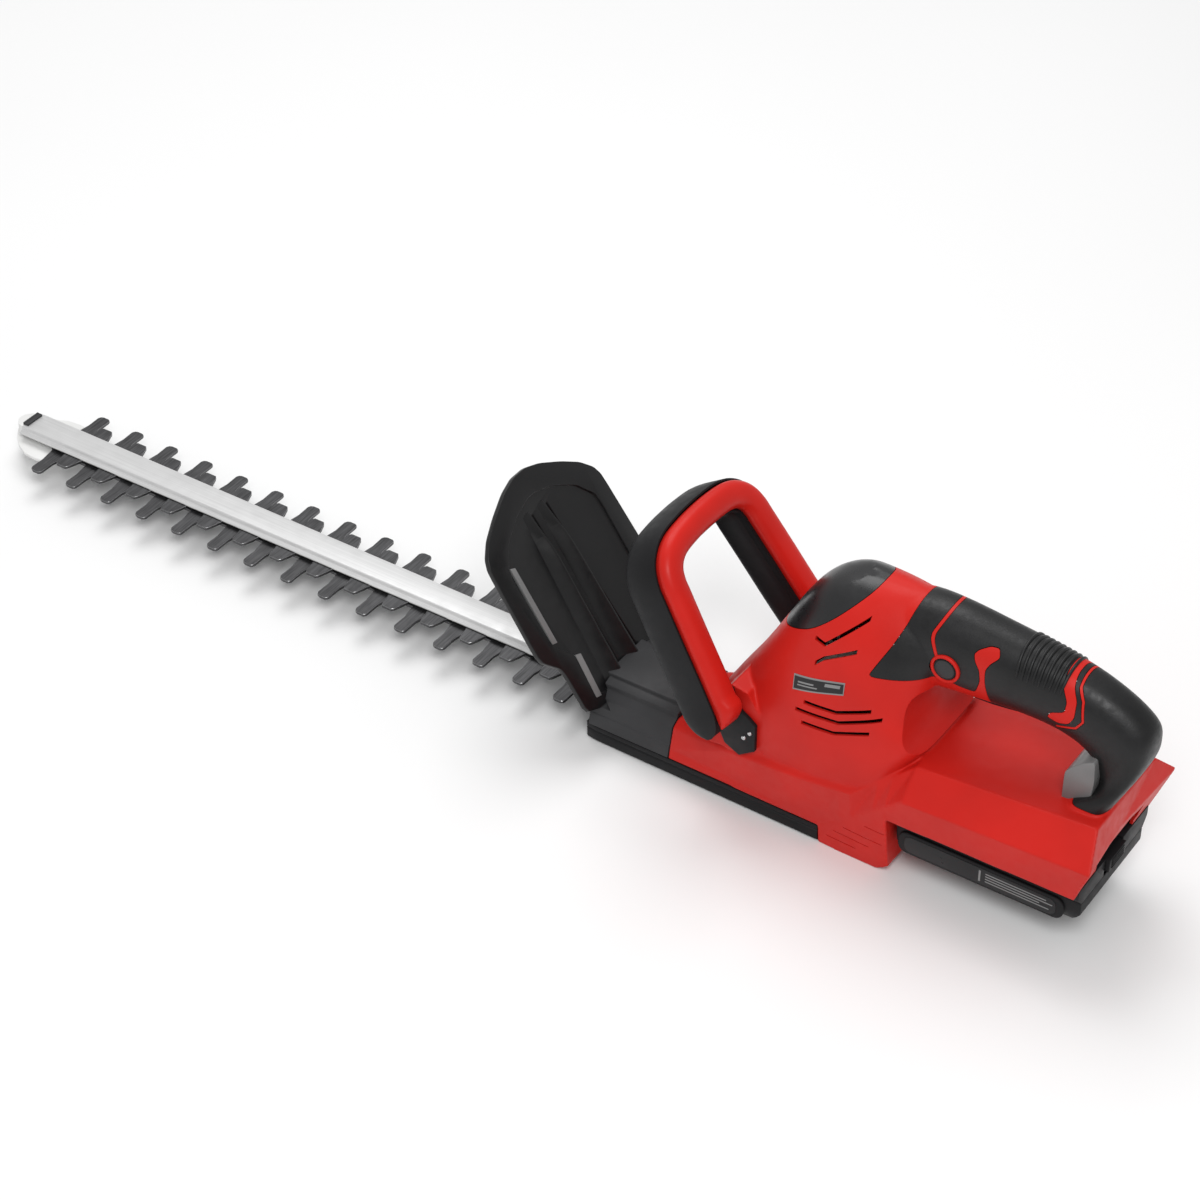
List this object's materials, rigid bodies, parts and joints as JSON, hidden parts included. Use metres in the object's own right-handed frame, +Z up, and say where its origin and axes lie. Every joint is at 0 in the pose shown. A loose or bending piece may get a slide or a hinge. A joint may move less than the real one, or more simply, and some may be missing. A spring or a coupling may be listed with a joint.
{
  "type": "hedge trimmer",
  "caption": "Battery hedge trimmer with a double-sided reciprocating blade, hand guard, looped front handle, rear grip with trigger, and slide-in battery.",
  "frame": {"origin": "middle of the bounding box at its lowest plane, under the flat sole", "axes": "+X along the blade towards its tip, +Y to the tool's left, +Z up with the sole flat"},
  "size_m": [0.8328, 0.128, 0.1792],
  "materials": {
    "red_plastic": "moulded red plastic, semi-matt",
    "black_plastic": "fine-textured black plastic",
    "gloss_black_plastic": "polished black plastic",
    "soft_overmould": "soft black overmould",
    "grey_plastic": "dark grey plastic",
    "light_plastic": "light grey plastic",
    "pale_plastic": "pale plastic",
    "blade_steel": "dark hardened steel",
    "aluminium": "satin aluminium",
    "bright_steel": "bright steel",
    "copper": "copper windings on a steel shaft",
    "board": "green circuit board",
    "cell_sleeve": "blue cell sleeve",
    "wire": "red insulation"
  },
  "bodies": {
    "housing": {"housing_left": "red_plastic", "housing_right": "red_plastic", "base_sole": "black_plastic", "blade_guard": "black_plastic", "front_handle": "black_plastic", "handle_bracket_left": "black_plastic", "handle_bracket_right": "black_plastic", "trigger_switch": "black_plastic", "handle_switch": "black_plastic", "terminal_block": "black_plastic", "motor_end_cap": "black_plastic", "motor_cap": "gloss_black_plastic", "grip_front_skin": "soft_overmould", "grip_rear_skin": "soft_overmould", "front_plate": "grey_plastic", "button_ring_left": "grey_plastic", "button_ring_right": "grey_plastic", "nose_clip": "grey_plastic", "magnet_ring": "grey_plastic", "grip_web": "light_plastic", "nose_cover": "pale_plastic", "blade_bar": "aluminium", "gearbox_case": "aluminium", "gearbox_cover": "aluminium", "motor_mount_plate": "aluminium", "motor_can": "aluminium", "bar_bolt_1": "bright_steel", "bar_bolt_2": "bright_steel", "blade_bolt_1": "bright_steel", "blade_bolt_2": "bright_steel", "blade_bolt_3": "bright_steel", "guard_screw_left": "bright_steel", "guard_screw_right": "bright_steel", "handle_bolt_left": "bright_steel", "handle_bolt_right": "bright_steel", "housing_screw_1": "bright_steel", "housing_screw_2": "bright_steel", "gear_bearing_lower": "bright_steel", "gear_bearing_upper": "bright_steel", "trigger_pin": "bright_steel", "trigger_spring": "bright_steel", "switch_bar_spring": "bright_steel", "controller_board": "board", "power_cable": "wire", "switch_cable": "wire"},
    "gear": {"drive_gear": "bright_steel", "eccentric_shaft": "bright_steel"},
    "upper_blade": {"upper_blade": "blade_steel"},
    "lower_blade": {"lower_blade": "blade_steel"},
    "rotor": {"motor_rotor": "copper", "pinion": "bright_steel", "motor_fan": "light_plastic"},
    "trigger": {"trigger": "black_plastic"},
    "lock_button": {"lock_button": "black_plastic"},
    "switch_bar": {"front_switch_bar": "red_plastic"},
    "battery": {"battery_lower_case": "black_plastic", "battery_upper_case": "black_plastic", "battery_cells": "cell_sleeve", "latch_spring": "bright_steel"},
    "latch": {"battery_latch": "red_plastic"}
  },
  "joints": [
    {"name": "gear_spin", "type": "hinge", "parent": "housing", "child": "gear", "pos_m": [-0.1926, 0, 0.02], "axis": [0, 0, 1], "range_deg": [-90, 90]},
    {"name": "upper_blade_stroke", "type": "slide", "parent": "housing", "child": "upper_blade", "axis": [1, 0, 0], "range_m": [-0.0075, 0.0075]},
    {"name": "lower_blade_stroke", "type": "slide", "parent": "housing", "child": "lower_blade", "axis": [1, 0, 0], "range_m": [-0.0075, 0.0075]},
    {"name": "rotor_spin", "type": "hinge", "parent": "housing", "child": "rotor", "pos_m": [-0.2206, 0, 0.02], "axis": [0, 0, 1], "range_deg": [-360, 360]},
    {"name": "trigger_pull", "type": "hinge", "parent": "housing", "child": "trigger", "pos_m": [-0.3531, 0, 0.138], "axis": [0, -1, 0], "range_deg": [0, 4.5], "stiffness_Nm_per_rad": 0.8, "springref_deg": -2.86},
    {"name": "lock_button_press", "type": "slide", "parent": "housing", "child": "lock_button", "axis": [0, 1, 0], "range_m": [0, 0.003], "stiffness_N_per_m": 400, "springref_m": -0.001},
    {"name": "switch_bar_press", "type": "hinge", "parent": "housing", "child": "switch_bar", "pos_m": [-0.19181, 0, 0.07781], "axis": [0, 1, 0], "range_deg": [0, 1.2], "stiffness_Nm_per_rad": 12, "springref_deg": -1.15},
    {"name": "battery_slide", "type": "slide", "parent": "housing", "child": "battery", "axis": [-1, 0, 0], "range_m": [0, 0.075]},
    {"name": "latch_press", "type": "slide", "parent": "battery", "child": "latch", "axis": [0, 0, -1], "range_m": [0, 0.003], "stiffness_N_per_m": 500, "springref_m": -0.001}
  ],
  "couplings": [
    {"joint": "upper_blade_stroke", "follows": "gear_spin", "m_per_rad": -0.004774},
    {"joint": "lower_blade_stroke", "follows": "gear_spin", "m_per_rad": 0.004774},
    {"joint": "rotor_spin", "follows": "gear_spin", "ratio": -4}
  ]
}
